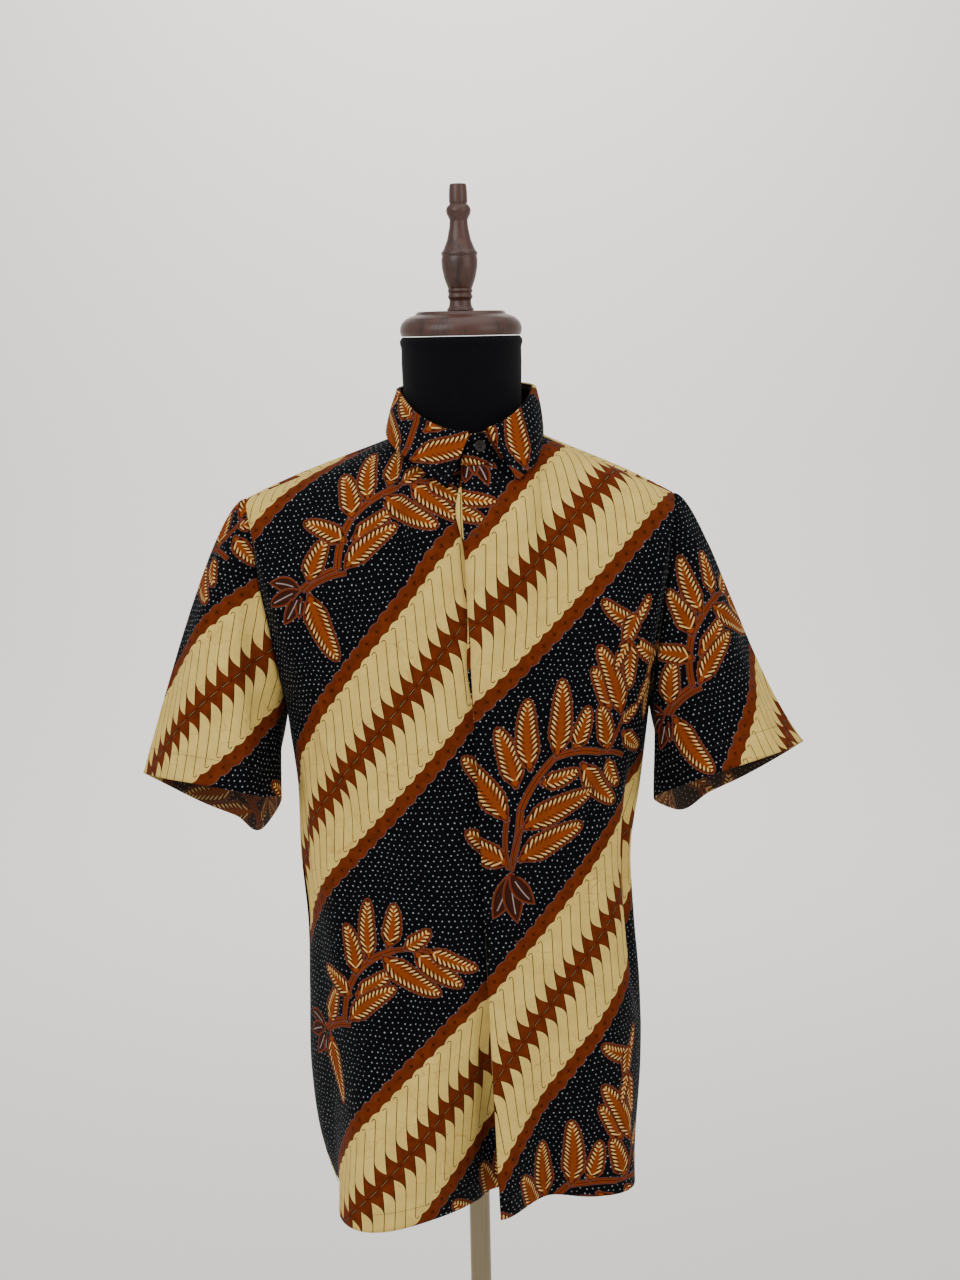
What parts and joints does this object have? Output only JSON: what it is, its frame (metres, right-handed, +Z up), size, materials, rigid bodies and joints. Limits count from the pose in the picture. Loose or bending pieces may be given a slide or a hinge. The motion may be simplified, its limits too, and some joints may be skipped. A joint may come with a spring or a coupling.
{
  "type": "short-sleeve shirt on a limbless dress form with a wooden neck cap and a pole stand",
  "caption": "Straight-cut short-sleeve shirt with a turned-down collar and a covered front opening, shown on a limbless form on a pole with a round base.",
  "frame": {"origin": "centre of the base's flat underside, on the floor", "axes": "+Z up, the shirt's front towards -Y, the wearer's left side towards +X"},
  "size_m": [0.644, 0.32, 1.6415],
  "materials": {
    "batik_cotton": "printed plain-weave cotton",
    "pale_cotton": "printed plain-weave cotton, pale side",
    "horn": "dark horn-look button",
    "jersey": "black knitted jersey",
    "hardwood": "stained and varnished turned hardwood",
    "steel": "brushed"
  },
  "bodies": {
    "root": {"front_right": "batik_cotton", "front_left": "batik_cotton", "fly_strip": "pale_cotton", "back": "batik_cotton", "sleeve_left": "batik_cotton", "sleeve_right": "batik_cotton", "collar_stand": "batik_cotton", "collar_fall": "batik_cotton", "collar_button": "horn", "form_torso": "jersey", "neck_cap": "hardwood", "finial": "hardwood", "pole": "steel", "base": "steel"}
  },
  "joints": []
}
